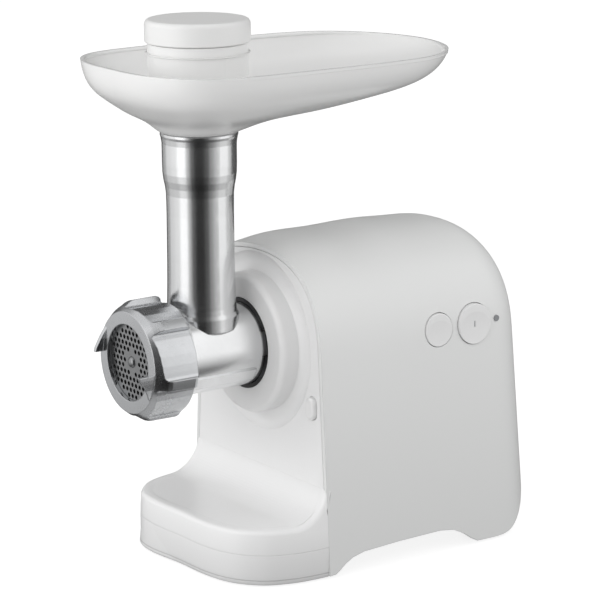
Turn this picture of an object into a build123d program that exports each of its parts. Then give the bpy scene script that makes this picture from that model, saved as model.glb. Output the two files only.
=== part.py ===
from build123d import *
import math
import os

os.makedirs("parts", exist_ok=True)

# ------------------------------------------------------------------ driving dimensions (mm)
# z is up, the outlet faces -Y, the buttons are on the +X side, the base stands on z = 0.
# "u" is the distance behind the feed tube's centre line; U(u) gives the y of that station.
TUBE_Y = -77.3            # y of the feed tube's centre line
AXIS_Z = 144.1            # height of the auger's axis

# housing
WALL = 3.0                # plastic wall
HALF_W = 74.0             # half width of the body at z = 104.2
DRAFT = 0.063             # the sides lean in by this much per mm of height
FACE_U = 44.0             # front face of the body
REAR_U_LOW = 220.3        # rear wall near the bottom
REAR_U_HIGH = 216.4       # rear wall at z = 156
REAR_R = 33.0             # rounding round the rear wall
SHELL_Z0 = 2.2            # lower edge of the shell
DECK_Z = 37.5             # top of the front deck
DECK_FRONT_U = -20.5      # front of the deck at the bottom
DECK_DRAFT = 5.5          # degrees
DECK_LEFT = 6.0           # the deck's left front corner stands this much further forward
DECK_Z0 = 1.2             # lower edge of the deck's skirt
DECK_SWEEP_R = 24.0       # concave sweep from the deck to the face
BOSS_R = 46.6             # collar on the face
BOSS_FRONT_U = 31.0
GROOVE_IN_R = 46.6        # shallow groove round the collar
GROOVE_OUT_R = 59.6
GROOVE_DEPTH = 2.2

# grinder head
BARREL_R = 27.3
BARREL_IN_R = 24.4
TUBE_R = 21.8
TUBE_IN_R = 19.4
TUBE_TOP_Z = 288.3
TUBE_TOP_R = 25.1
THREAD_R = 31.0
NUT_FRONT_U = -57.0
NUT_REAR_U = -27.0
NUT_RIM_R = 33.1
NUT_FIN_R = 39.2
NUT_VALLEY_R = 36.2
NUT_OPEN_R = 25.0
FIN_COUNT = 6
FIN_FIRST = -14.0
LUG_TIP_U = -68.0
PLATE_R = 27.0
PLATE_T = 5.0
PLATE_FRONT_U = -53.6
PLATE_HOLE_R = 1.45
PLATE_PITCH = 4.35
PLATE_CLEAR_R = 8.0
CENTRE_HOLE_R = 3.75

# tray and pusher
RIM_Z = 333.0
TRAY_T = 2.4
NECK_R = 26.0
CAP_TOP_Z = 360.1
CAP_R = 33.7
CAP_BOTTOM_Z = 345.5
CUP_R = 31.6
CUP_BOTTOM_Z = 304.0
PUSHER_R = 18.6
PUSHER_BOTTOM_Z = 177.0

# controls
BIG_U, BIG_Z, BIG_R = 168.9, 150.7, 13.55
SMALL_U, SMALL_Z, SMALL_R = 139.3, 150.7, 11.1
LED_U, LED_Z, LED_R = 188.2, 151.5, 2.1
LOCK_X, LOCK_Z, LOCK_W, LOCK_H = 61.5, 111.0, 9.0, 15.0
BUTTON_TRAVEL = 2.2

# gear train: motor pinion -> middle gear, middle pinion -> output gear
PA = 25.0
M_OUT, N_OUT, N_MIDP = 1.5, 54, 12
M_IN, N_MIDG, N_MOT = 1.0, 72, 12
MID_X = 0.0
MID_Z = AXIS_Z - M_OUT * (N_OUT + N_MIDP) / 2
MOT_X = -20.0
MOT_Z = MID_Z + math.sqrt((M_IN * (N_MIDG + N_MOT) / 2) ** 2 - MOT_X ** 2)
BACKLASH = 0.12

nodes = {}


# ------------------------------------------------------------------ helpers
def U(u):
    return u + TUBE_Y


def as_solid(shape):
    """One Compound or Solid from an algebra result."""
    solids = shape.solids()
    return solids[0] if len(solids) == 1 else Compound(children=list(solids))


def xz_plane(y):
    return Plane(origin=(0, y, 0), x_dir=(1, 0, 0), z_dir=(0, -1, 0))


def yz_plane(x):
    return Plane(origin=(x, 0, 0), x_dir=(0, 1, 0), z_dir=(1, 0, 0))


def box(x0, x1, u0, u1, z0, z1):
    return Pos((x0 + x1) / 2, (U(u0) + U(u1)) / 2, (z0 + z1) / 2) * Box(x1 - x0, u1 - u0, z1 - z0)


def rod(r, u0, u1, cx=0.0, cz=AXIS_Z):
    """A cylinder along Y."""
    return Solid.make_cylinder(r, u1 - u0, Plane(origin=(cx, U(u0), cz), z_dir=(0, 1, 0)))


def tube(r0, r1, u0, u1, cx=0.0, cz=AXIS_Z):
    return rod(r1, u0, u1, cx, cz) - rod(r0, u0 - 1, u1 + 1, cx, cz)


def post(r, z0, z1, x, y):
    return Solid.make_cylinder(r, z1 - z0, Plane(origin=(x, y, z0), z_dir=(0, 0, 1)))


def xrod(r, x0, x1, u, z):
    return Solid.make_cylinder(r, x1 - x0, Plane(origin=(x0, U(u), z), z_dir=(1, 0, 0)))


def prism_y(pts, u0, u1):
    """Points (x, z) extruded from station u0 to u1."""
    f = xz_plane(U(u1)) * make_face(Polyline(*[(p[0], p[1]) for p in pts], close=True))
    return extrude(f, amount=u1 - u0)


def prism_x(pts, x0, x1):
    """Points (u, z) extruded from x0 to x1."""
    f = yz_plane(x0) * make_face(Polyline(*[(U(p[0]), p[1]) for p in pts], close=True))
    return extrude(f, amount=x1 - x0)


def lathe_y(pts, cx=0.0, cz=AXIS_Z):
    """Points (u, r) turned about the axis along Y."""
    f = yz_plane(cx) * make_face(Polyline(*[(U(p[0]), cz + p[1]) for p in pts], close=True))
    return revolve(f, Axis((cx, 0, cz), (0, 1, 0)), 360)


def lathe_z(pts, x=0.0, y=TUBE_Y):
    """Points (r, z) turned about a vertical axis."""
    f = Plane(origin=(x, y, 0), x_dir=(1, 0, 0), z_dir=(0, -1, 0)) * make_face(
        Polyline(*[(p[0], p[1]) for p in pts], close=True))
    return revolve(f, Axis((x, y, 0), (0, 0, 1)), 360)


def hexagon(af, cx, cz, turn=0.0):
    r = af / math.sqrt(3)
    return [(cx + r * math.cos(math.radians(60 * k + turn)), cz + r * math.sin(math.radians(60 * k + turn)))
            for k in range(6)]


def arc_pts(cx, cy, r, a0, a1, n):
    return [(cx + r * math.cos(math.radians(a0 + (a1 - a0) * k / n)),
             cy + r * math.sin(math.radians(a0 + (a1 - a0) * k / n))) for k in range(n + 1)]


def half_w(z):
    return HALF_W + DRAFT * (104.2 - z)


def gear_points(n, m, cx, cz, phase):
    """Straight-sided approximation of an involute gear outline; phase is the angle of one tooth."""
    pa = math.radians(PA)
    rp = m * n / 2
    rb = rp * math.cos(pa)
    ra = rp + m
    rf = rp - 1.25 * m
    inv = math.tan(pa) - pa

    def half(r):
        if r <= rb:
            r = rb
        a = math.acos(rb / r)
        return math.pi / (2 * n) + inv - (math.tan(a) - a) - BACKLASH / (2 * rp)

    r_start = max(rf, rb)
    radii = ([rf] if rf < rb else []) + [r_start + (ra - r_start) * k / 4 for k in range(5)]
    pts = []
    for k in range(n):
        c = phase + 2 * math.pi * k / n
        for r in radii:
            pts.append((cx + r * math.cos(c - half(r)), cz + r * math.sin(c - half(r))))
        for r in reversed(radii):
            pts.append((cx + r * math.cos(c + half(r)), cz + r * math.sin(c + half(r))))
    return pts


def gear(n, m, cx, cz, phase, af, u0, u1):
    body = prism_y(gear_points(n, m, cx, cz, phase), u0, u1)
    return body - prism_y(hexagon(af, cx, cz), u0 - 1, u1 + 1)


def oblong(r1, r2, u0, u1):
    """Hull of a circle on the output axis and one on the middle shaft."""
    d = AXIS_Z - MID_Z
    s = (r1 - r2) / d
    a = math.degrees(math.asin(s))
    pts = arc_pts(0, AXIS_Z, r1, -a, 180 + a, 36) + arc_pts(MID_X, MID_Z, r2, 180 + a, 360 - a, 36)
    return prism_y(pts, u0, u1)



# ------------------------------------------------------------------ main shell
REAR_LEAN = (REAR_U_LOW - REAR_U_HIGH) / (156.0 - 40.0)


def arch_wire(u, top, inset, z0, lean=0.0, sx=1.0, sup=1.0, sdn=1.0):
    """Section of the body: two leaning sides and a rounded crown. The last three scale it at the rear."""
    c = (0.0, 128.0)
    zc = 105.0

    def pull(p):
        d = math.hypot(p[0] - c[0], p[1] - c[1])
        return (p[0] - inset * (p[0] - c[0]) / d, p[1] - inset * (p[1] - c[1]) / d)

    def put(p):
        z = zc + (p[1] - zc) * (sup if p[1] > zc else sdn)
        return Vector(p[0] * sx, U(u) - lean * (z - 40.0), z)

    zs = 146.0
    ws = half_w(zs) - inset
    wb = half_w(z0) - inset
    rise = top - 212.0
    crown = [pull((66.6, 172.5 + 0.2 * rise)), pull((54.5, 193.0 + 0.5 * rise)),
             pull((30.0, 208.2 + 0.9 * rise)), pull((0.0, top))]
    pts = [(ws, zs)] + crown + [(-p[0], p[1]) for p in reversed(crown[:-1])] + [(-ws, zs)]
    v = [put(p) for p in pts]
    b0, b1 = put((wb, z0)), put((-wb, z0))
    t0, t1 = (v[0] - b0).normalized(), (b1 - v[-1]).normalized()
    spl = Edge.make_spline(v, tangents=[t0, t1])
    return Wire([Edge.make_line(b1, b0), Edge.make_line(b0, v[0]), spl, Edge.make_line(v[-1], b1)])


CROWN = [(FACE_U, 208.2), (60.0, 210.6), (90.0, 212.1), (125.0, 212.6), (160.0, 211.9)]


def body_solid(inset, z0, front=None):
    secs = []
    for i, (u, top) in enumerate(CROWN):
        uu = u if i else (FACE_U if front is None else front)
        secs.append(arch_wire(uu, top, inset, z0, REAR_LEAN * max(0.0, (u - 100.0) / 90.0)))
    ru = REAR_R + 2.0 - inset
    for t in (0, 15, 30, 45, 58, 69, 78, 85):
        t = math.radians(t)
        k = 1 - math.cos(t)
        secs.append(arch_wire(REAR_U_LOW - inset - ru + ru * math.sin(t), 210.6, inset, z0, REAR_LEAN,
                              1 - (28.0 - inset) * k / 76.0, 1 - (40.0 - inset) * k / 105.0,
                              1 - (58.0 - inset) * k / 102.0))
    return Solid.make_loft(secs)


outer = body_solid(0.0, SHELL_Z0)
inner = body_solid(WALL, SHELL_Z0 + WALL, front=FACE_U - 1)
shell = outer - inner
# the side's lower edge arches up between the deck and the rear foot pod
ARCH = [(48.0, -5), (48.0, 2.0), (52.0, 4.4), (57.0, 8.3), (63.0, 11.4), (72.0, 13.5), (102.0, 14.7),
        (135.0, 15.2), (146.0, 13.6), (155.0, 9.4), (161.0, 5.2), (166.0, 2.4), (168.0, -5)]
shell -= prism_x(ARCH, -120, 120)
# floor opening for the bottom cover
shell -= box(-half_w(0) + 8.0, half_w(0) - 8.0, 30, 196, -2, 12)
shell -= box(-half_w(0) + WALL, half_w(0) - WALL, 30, 165, -2, 20)
# ledge that carries the front cover's edge
ledge = Solid.make_loft([arch_wire(47.1, 208.2, 2.9, 40.0), arch_wire(49.6, 208.6, 2.9, 40.0)])
ledge -= Solid.make_loft([arch_wire(46.0, 208.2, 6.5, 20.0), arch_wire(51.0, 208.6, 6.5, 20.0)])
shell += ledge
# holes for the buttons, the lens and the cord inlet
shell -= xrod(BIG_R + 0.4, 50, 100, BIG_U, BIG_Z)
shell -= xrod(SMALL_R + 0.4, 50, 100, SMALL_U, SMALL_Z)
shell -= xrod(LED_R, 50, 100, LED_U, LED_Z)
INLET_Z = 46.0
shell -= rod(8.0, 200, 240, -30.0, INLET_Z)
# posts for the base screws
for sx in (-1, 1):
    for pu in (78.0, 186.0):
        py = U(pu)
        shell += post(5.0, 18.0, 44.0, sx * 62.0, py) + box(min(sx * 62, sx * 77.5), max(sx * 62, sx * 77.5),
                                                             pu - 1.5, pu + 1.5, 18.0, 44.0)
        shell -= post(1.7, 10.0, 36.0, sx * 62.0, py)
nodes["main_shell"] = as_solid(shell)

# ------------------------------------------------------------------ front cover: face, collar, sweep, deck
EDGE = 3.4


def deck_plan(inset, z):
    """Outline of the deck seen from above."""
    half = [(0.0, DECK_FRONT_U), (30.0, DECK_FRONT_U + 1.2), (52.0, DECK_FRONT_U + 7.4), (66.0, DECK_FRONT_U + 20.5),
            (73.0, DECK_FRONT_U + 38.0), (76.3, FACE_U + 3.0)]
    pts = []
    for x, u in half:
        d = math.hypot(x, u - 40.0)
        pts.append((x - inset * x / d, U(u - inset * (u - 40.0) / d) if u < 40 else U(u)))
    left = []
    for x, u in half[1:]:
        x, u = -x, u - DECK_LEFT * min(1.0, x / 45.0) * max(0.0, min(1.0, (FACE_U - u) / 30.0))
        d = math.hypot(x, u - 40.0)
        left.append((x - inset * x / d, U(u - inset * (u - 40.0) / d) if u < 40 else U(u)))
    full = list(reversed(left)) + pts
    v = [Vector(x, y, z) for x, y in full]
    s = Edge.make_spline(v, tangents=[Vector(0.05, -1, 0), Vector(0.05, 1, 0)])
    return Face(Wire([s, Edge.make_line(v[-1], v[0])]))


def deck_block(inset, z0, z1):
    grow = math.tan(math.radians(DECK_DRAFT))
    lower = deck_plan(inset, z0).outer_wire()
    upper = deck_plan(inset + grow * (z1 - z0), z1).outer_wire()
    return Solid.make_loft([lower, upper])


tall = deck_block(0.0, DECK_Z0, 62.0)
tall_in = deck_block(WALL, -2.0, 62.0)
deck = as_solid(tall & box(-100, 100, -60, 90, DECK_Z0 - 5, DECK_Z))
front_edges = [e for e in deck.edges() if abs(e.center().Z - DECK_Z) < 0.2 and e.center().Y < U(30)]
deck = deck.fillet(5.0, front_edges)
low_edges = [e for e in deck.edges() if abs(e.center().Z - DECK_Z0) < 0.2 and e.center().Y < U(30)]
deck = deck.fillet(2.0, low_edges)
cover = deck - (tall_in & box(-100, 100, -60, 90, -5, DECK_Z - WALL))
# concave sweep up to the face
cz = DECK_Z + DECK_SWEEP_R
cu = FACE_U - DECK_SWEEP_R
out_arc = arc_pts(cu, cz, DECK_SWEEP_R, -90, -5, 18)
out_arc.append((FACE_U + 1.5, out_arc[-1][1]))
in_arc = arc_pts(cu, cz, DECK_SWEEP_R + WALL, -math.degrees(math.acos((FACE_U + 1.5 - cu) / (DECK_SWEEP_R + WALL))), -90, 14)
sweep_pr = prism_x(out_arc + in_arc, -90, 90)
section = Solid.make_loft([arch_wire(-40.0, 208.2, EDGE, 3.4), arch_wire(47.0, 208.2, EDGE, 3.4)])
cover = cover - prism_x([(cu, DECK_Z - WALL - 0.5), (FACE_U + 8, DECK_Z - WALL - 0.5), (FACE_U + 8, 60), (cu, 60)], -90, 90)
cover += (sweep_pr & section & tall)
# face plate
face = section & box(-100, 100, FACE_U, FACE_U + WALL, 9.0, 230)
cover += face
# side cheeks that close the deck's ends beside the sweep
cheek_prof = [(cu, DECK_Z0), (FACE_U + 1.5, DECK_Z0), (FACE_U + 1.5, cz - 4.0)] + arc_pts(cu, cz, DECK_SWEEP_R + 0.5, -10, -90, 12)
for sx in (-1, 1):
    cheek = prism_x(cheek_prof, min(sx * 60, sx * 90), max(sx * 60, sx * 90)) & tall & box(-100, 100, -60, 90, DECK_Z - WALL - 6.0, 62.0)
    cheek = cheek - tall_in
    cover += cheek
# backing disc, groove, collar
cover += rod(57.0, FACE_U + 1, FACE_U + WALL + 2.4)
gr_half = (GROOVE_OUT_R - GROOVE_IN_R) / 2
gr_R = (gr_half ** 2 + GROOVE_DEPTH ** 2) / (2 * GROOVE_DEPTH)
gr_mid = (GROOVE_OUT_R + GROOVE_IN_R) / 2
gr_arc = [(FACE_U + GROOVE_DEPTH - gr_R + gr_R * math.cos(t), gr_mid + gr_R * math.sin(t))
          for t in [math.asin(gr_half / gr_R) * k / 8 for k in range(-8, 9)]]
cover -= lathe_y([(FACE_U - 2, gr_arc[0][1])] + gr_arc + [(FACE_U - 2, gr_arc[-1][1])])
collar_edge = [(BOSS_FRONT_U + 4.0 - 4.0 * math.cos(math.radians(a)), BOSS_R - 4.0 + 4.0 * math.sin(math.radians(a)))
               for a in range(0, 91, 15)]
collar = lathe_y([(BOSS_FRONT_U, 30.3)] + collar_edge + [(FACE_U + 4.0, BOSS_R), (FACE_U + 4.0, 40.2),
                                                          (BOSS_FRONT_U + 3.5, 40.2), (BOSS_FRONT_U + 3.5, 30.3)])
cover -= rod(40.2, FACE_U - 5, FACE_U + 12)
cover += collar
# slot of the lock button
lock_hole = (box(LOCK_X - LOCK_W / 2 - 0.35, LOCK_X + LOCK_W / 2 + 0.35, 30, 60,
                 LOCK_Z - LOCK_H / 2 + LOCK_W / 2, LOCK_Z + LOCK_H / 2 - LOCK_W / 2)
             + rod(LOCK_W / 2 + 0.35, 30, 60, LOCK_X, LOCK_Z + (LOCK_H - LOCK_W) / 2)
             + rod(LOCK_W / 2 + 0.35, 30, 60, LOCK_X, LOCK_Z - (LOCK_H - LOCK_W) / 2))
cover -= lock_hole
nodes["front_cover"] = as_solid(cover)

# ------------------------------------------------------------------ bottom cover with vent slots
plate_prof = [(-14.0, 3.4), (44.0, 3.4), (49.0, 5.2), (57.0, 10.5), (66.0, 14.2), (102.0, 15.6), (135.0, 15.6),
              (148.0, 13.4), (156.0, 9.0), (162.0, 5.4), (168.0, 3.4), (194.6, 3.4)]
plate_up = [(p[0], p[1] + 2.6) for p in plate_prof]
bottom = prism_x(plate_prof + list(reversed(plate_up)), -90, 90)
front_part = extrude(deck_plan(WALL + 1.1, -5.0), amount=60) & box(-90, 90, -60, 47.4, -5, 60)
# behind the deck the cover fills the floor opening between the shell's sides
mid_part = box(-half_w(12) + 3.4, half_w(12) - 3.4, 47.0, 164.6, -5, 60)
rear_part = box(-half_w(0) + 8.3, half_w(0) - 8.3, 164.6, 195.6, -5, 60)
bottom = bottom & (front_part + mid_part + rear_part)
for k in range(7):
    uu = 84.0 + 8.0 * k
    bottom -= box(-34, 34, uu, uu + 3.2, 0, 30)
# screw holes
for sx in (-1, 1):
    for pu in (78.0, 186.0):
        bottom -= post(2.2, -2, 30, sx * 62.0, U(pu))
# seats that bring the cover up to the shell's posts
for sx in (-1, 1):
    seat = post(6.5, 5.6, 18.0, sx * 62.0, U(186.0)) - post(2.2, 0, 30, sx * 62.0, U(186.0))
    bottom += seat
# cradle for the motor's rear end, and supports for the gearbox
bottom += box(-34, -6, 168.0, 172.0, 5.8, 92.0)
bottom += box(-26, 26, 58.0, 78.0, 12.5, 16.5) + (box(-22, 22, 66.0, 70.0, 14.0, 62.0) - oblong(47.5, 42.0, 60, 80))
nodes["bottom_cover"] = as_solid(bottom)

# feet
feet = []
for fx, fu in ((-58.0, 4.0), (58.0, 4.0), (-65.3, 176.0), (65.3, 176.0)):
    f = lathe_z([(0, 0), (5.2, 0), (5.8, 0.6), (5.8, 1.1), (3.6, 1.1), (3.6, 3.4), (0, 3.4)] if fu < 50 else
                [(0, 0), (5.2, 0), (6.0, 0.8), (6.4, 3.4), (0, 3.4)], fx, U(fu))
    feet.append(as_solid(f))
nodes["rubber_feet"] = Compound(children=feet)

# base screws: pan head below the cover, shank up in the post
screws = []
for sx in (-1, 1):
    for pu, zb in ((78.0, 14.4), (186.0, 3.4)):
        s = lathe_z([(0, zb - 1.4), (3.2, zb - 1.4), (3.8, zb - 0.6), (3.8, zb), (1.6, zb), (1.6, 34.0), (0, 34.0)],
                    sx * 62.0, U(pu))
        s -= Pos(sx * 62.0, U(pu), zb - 1.4) * Box(4.2, 0.9, 1.2) + Pos(sx * 62.0, U(pu), zb - 1.4) * Box(0.9, 4.2, 1.2)
        screws.append(as_solid(s))
nodes["base_screws"] = Compound(children=screws)

# ------------------------------------------------------------------ head socket (bayonet receiver)
SOCK_IN = 27.6
sock = lathe_y([(BOSS_FRONT_U - 0.4, SOCK_IN), (BOSS_FRONT_U - 0.4, 30.1), (BOSS_FRONT_U + 3.6, 30.1),
                (BOSS_FRONT_U + 3.6, 36.0), (FACE_U + 5.4, 36.0), (FACE_U + 5.4, 46.0), (50.0, 46.0), (50.0, 13.0),
                (46.4, 13.0), (46.4, 30.4), (36.0, 30.4), (36.0, SOCK_IN)])
for k in range(3):
    a0 = 90 + 120 * k + 40
    wedge = [(0, AXIS_Z)] + arc_pts(0, AXIS_Z, 30.35, a0 - 18, a0 + 18, 10)
    sock -= prism_y(wedge, 20, 37)
nodes["head_socket"] = as_solid(sock)

# ------------------------------------------------------------------ gearbox
G0, G1 = 50.0, 86.0


gbox = oblong(47.5, 42.0, G0, G1) - oblong(44.5, 39.0, G0 + 3.0, G1 + 1)
gbox += rod(17.0, G0, 56.0) + rod(8.5, G0, 56.0, MID_X, MID_Z)
gbox -= rod(14.0, G0 - 1, 58.0) + rod(6.0, G0 - 1, 58.0, MID_X, MID_Z)
for bx, bz in ((49.0, 150.0), (-49.0, 150.0), (35.5, 68.5), (-35.5, 68.5)):
    gbox += rod(4.2, G0 + 4, G1, bx, bz)
    gbox -= rod(1.5, G1 - 12, G1 + 1, bx, bz)
gbox -= oblong(44.5, 39.0, G0 + 3.0, G1 + 1) - (rod(17.0, G0, 56.0) + rod(8.5, G0, 56.0, MID_X, MID_Z))
nodes["gearbox_housing"] = as_solid(gbox)

gcov = oblong(47.5, 42.0, G1, G1 + 3.0)
for bx, bz in ((49.0, 150.0), (-49.0, 150.0), (35.5, 68.5), (-35.5, 68.5)):
    gcov += rod(4.2, G1, G1 + 3.0, bx, bz)
    gcov -= rod(1.7, G1 - 1, G1 + 4, bx, bz)
gcov += rod(11.5, G1 - 2.0, G1 + 5.0) + rod(8.5, G1 - 2.0, G1 + 5.0, MID_X, MID_Z)
gcov -= rod(9.0, G1 - 4.0, G1 + 6.0) + rod(6.0, G1 - 4.0, G1 + 6.0, MID_X, MID_Z)
gcov -= rod(7.6, G1 - 4.0, G1 + 6.0, MOT_X, MOT_Z)
nodes["gearbox_cover"] = as_solid(gcov)

nodes["shaft_bushings"] = Compound(children=[
    as_solid(tube(11.55, 14.0, G0, 56.0)), as_solid(tube(4.05, 6.0, G0, 56.0, MID_X, MID_Z)),
    as_solid(tube(7.05, 9.0, G1 - 2.0, G1 + 5.0)), as_solid(tube(4.05, 6.0, G1 - 2.0, G1 + 5.0, MID_X, MID_Z))])

gscrews = []
for bx, bz in ((49.0, 150.0), (-49.0, 150.0), (35.5, 68.5), (-35.5, 68.5)):
    s = lathe_y([(G1 - 9, 0), (G1 - 9, 1.45), (G1 + 3.0, 1.45), (G1 + 3.0, 3.4), (G1 + 4.6, 3.4), (G1 + 5.2, 2.6),
                 (G1 + 5.2, 0)], bx, bz)
    s -= Pos(bx, U(G1 + 5.2), bz) * Box(4.0, 1.4, 0.9)
    gscrews.append(as_solid(s))
nodes["gearbox_screws"] = Compound(children=gscrews)

# ------------------------------------------------------------------ motor
F0 = 93.0                                   # front end frame
front_frame = rod(30.0, F0, F0 + 3.0, MOT_X, MOT_Z) + rod(9.5, F0, F0 + 7.0, MOT_X, MOT_Z)
front_frame -= rod(4.05, F0 - 1, F0 + 8, MOT_X, MOT_Z)
for a in (200.0, 250.0, 305.0):
    ax, az = MOT_X + 23.0 * math.cos(math.radians(a)), MOT_Z + 23.0 * math.sin(math.radians(a))
    front_frame += rod(3.2, G1 + 3.0, F0 + 1.0, ax, az)
STAT0, STAT1 = 108.0, 146.0
for a in (45.0, 135.0, 225.0, 315.0):
    ax, az = MOT_X + 26.5 * math.cos(math.radians(a)), MOT_Z + 26.5 * math.sin(math.radians(a))
    front_frame += rod(2.6, F0 + 2.0, STAT0, ax, az)
rear_frame = rod(30.0, 168.0, 171.0, MOT_X, MOT_Z) + rod(9.5, 164.0, 171.0, MOT_X, MOT_Z)
rear_frame -= rod(4.05, 160, 175, MOT_X, MOT_Z)
for a in (45.0, 135.0, 225.0, 315.0):
    ax, az = MOT_X + 26.5 * math.cos(math.radians(a)), MOT_Z + 26.5 * math.sin(math.radians(a))
    rear_frame += rod(2.6, STAT1, 169.0, ax, az)
rear_frame -= box(-40, 0, 167.9, 172.1, 60, 92.0)
nodes["motor_end_frames"] = Compound(children=[as_solid(front_frame), as_solid(rear_frame)])

# two-pole stator: yoke, pole shoes and the field coils round them
yoke = rod(34.5, STAT0, STAT1, MOT_X, MOT_Z) - rod(29.8, STAT0 - 1, STAT1 + 1, MOT_X, MOT_Z)
poles = box(MOT_X - 31.5, MOT_X + 31.5, STAT0, STAT1, MOT_Z - 9.0, MOT_Z + 9.0)
shoes = rod(25.5, STAT0, STAT1, MOT_X, MOT_Z) & box(MOT_X - 31, MOT_X + 31, STAT0, STAT1, MOT_Z - 17.0, MOT_Z + 17.0)
stator = (yoke + (poles & rod(31.0, STAT0, STAT1, MOT_X, MOT_Z)) + shoes) - rod(21.5, STAT0 - 1, STAT1 + 1, MOT_X, MOT_Z)
nodes["stator_core"] = as_solid(stator)
coils = []
for sx in (-1, 1):
    c = (rod(29.6, STAT0 - 6, STAT1 + 6, MOT_X, MOT_Z) - rod(25.7, STAT0 - 8, STAT1 + 8, MOT_X, MOT_Z)) \
        & box(*sorted((MOT_X + sx * 10.0, MOT_X + sx * 31.0)), STAT0 - 6, STAT1 + 6, MOT_Z - 22.0, MOT_Z + 22.0)
    c -= box(MOT_X - 40, MOT_X + 40, STAT0 - 1.6, STAT1 + 1.6, MOT_Z - 9.2, MOT_Z + 9.2)
    # keep the coil clear of the frame's pillars
    for a in (45.0, 135.0, 225.0, 315.0):
        ax, az = MOT_X + 26.5 * math.cos(math.radians(a)), MOT_Z + 26.5 * math.sin(math.radians(a))
        c -= rod(3.2, STAT0 - 10, STAT0, ax, az) + rod(3.2, STAT1, STAT1 + 10, ax, az)
    coils.append(as_solid(c))
nodes["field_windings"] = Compound(children=coils)

# brushes and holders on the rear frame
brush = []
for sx in (-1, 1):
    h = box(*sorted((MOT_X + sx * 11.6, MOT_X + sx * 28.0)), 152.0, 160.0, MOT_Z - 4.0, MOT_Z + 4.0)
    h += box(*sorted((MOT_X + sx * 22.0, MOT_X + sx * 28.0)), 152.0, 168.0, MOT_Z - 4.0, MOT_Z + 4.0)
    brush.append(as_solid(h))
nodes["brush_holders"] = Compound(children=brush)

rs = rod(4.0, 71.6, 184.0, MOT_X, MOT_Z) - rod(4.5, 72.4, 83.6, MOT_X, MOT_Z)
rs += prism_y(hexagon(6.0, MOT_X, MOT_Z), 72.4, 83.6)
nodes["rotor_shaft"] = as_solid(rs)
core = rod(20.9, STAT0, STAT1, MOT_X, MOT_Z)
for k in range(12):
    a = math.radians(30 * k)
    slot = prism_y([(MOT_X + 12.5 * math.cos(a) - 1.1 * math.sin(a), MOT_Z + 12.5 * math.sin(a) + 1.1 * math.cos(a)),
                    (MOT_X + 22 * math.cos(a) - 1.1 * math.sin(a), MOT_Z + 22 * math.sin(a) + 1.1 * math.cos(a)),
                    (MOT_X + 22 * math.cos(a) + 1.1 * math.sin(a), MOT_Z + 22 * math.sin(a) - 1.1 * math.cos(a)),
                    (MOT_X + 12.5 * math.cos(a) + 1.1 * math.sin(a), MOT_Z + 12.5 * math.sin(a) - 1.1 * math.cos(a))],
                   STAT0 - 1, STAT1 + 1)
    core -= slot
core -= rod(4.0, STAT0 - 1, STAT1 + 1, MOT_X, MOT_Z)
nodes["rotor_core"] = as_solid(core)
nodes["rotor_windings"] = Compound(children=[as_solid(tube(5.0, 17.5, STAT0 - 5.0, STAT0, MOT_X, MOT_Z)),
                                             as_solid(tube(5.0, 17.5, STAT1, STAT1 + 5.0, MOT_X, MOT_Z))])
nodes["commutator"] = as_solid(tube(4.0, 11.2, 151.4, 162.0, MOT_X, MOT_Z))
fan = tube(4.0, 8.0, 174.0, 183.0, MOT_X, MOT_Z) + tube(4.0, 28.0, 174.0, 175.6, MOT_X, MOT_Z)
for k in range(9):
    a = math.radians(40 * k)
    ca, sa = math.cos(a), math.sin(a)
    p = [(7.0, -0.8), (27.5, -3.8), (27.5, -2.4), (7.0, 0.8)]
    fan += prism_y([(MOT_X + x * ca - y * sa, MOT_Z + x * sa + y * ca) for x, y in p], 175.0, 183.0)
nodes["cooling_fan"] = as_solid(fan)

# ------------------------------------------------------------------ gears
ang_out_to_mid = math.radians(-90.0)
ang_mid_to_out = math.radians(90.0)
ang_mid_to_mot = math.atan2(MOT_Z - MID_Z, MOT_X - MID_X)
ang_mot_to_mid = ang_mid_to_mot + math.pi
nodes["output_gear"] = as_solid(gear(N_OUT, M_OUT, 0, AXIS_Z, ang_out_to_mid, 20.0, 58.0, 70.0))
nodes["middle_pinion"] = as_solid(gear(N_MIDP, M_OUT, MID_X, MID_Z, ang_mid_to_out + math.pi / N_MIDP, 9.0, 57.4, 70.6))
nodes["middle_gear"] = as_solid(gear(N_MIDG, M_IN, MID_X, MID_Z, ang_mid_to_mot, 9.0, 73.6, 82.0))
nodes["motor_pinion"] = as_solid(gear(N_MOT, M_IN, MOT_X, MOT_Z, ang_mot_to_mid + math.pi / N_MOT, 6.0, 73.0, 83.0))
ms = rod(4.0, 51.0, 90.5, MID_X, MID_Z) + prism_y(hexagon(9.0, MID_X, MID_Z), 57.0, 83.0)
ms += tube(3.9, 6.2, 70.6, 73.6, MID_X, MID_Z)
nodes["middle_shaft"] = as_solid(ms)

# output spindle with the hexagonal drive socket
sp = rod(11.5, 44.0, 57.0) + prism_y(hexagon(20.0, 0, AXIS_Z), 57.0, 71.0) + rod(7.0, 71.0, 90.6) + tube(6.5, 12.5, 70.0, 72.0)
sp -= prism_y(hexagon(13.2, 0, AXIS_Z), 43.0, 55.0)
nodes["output_spindle"] = as_solid(sp)

# ------------------------------------------------------------------ auger
A0, A1 = -40.0, 33.2
PITCH = 24.0
FL_R = 23.9
aug = rod(9.4, A0, A1) + rod(8.0, A1 - 2, 41.2)
aug += prism_y(hexagon(13.0, 0, AXIS_Z), 41.0, 52.0)
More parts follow.
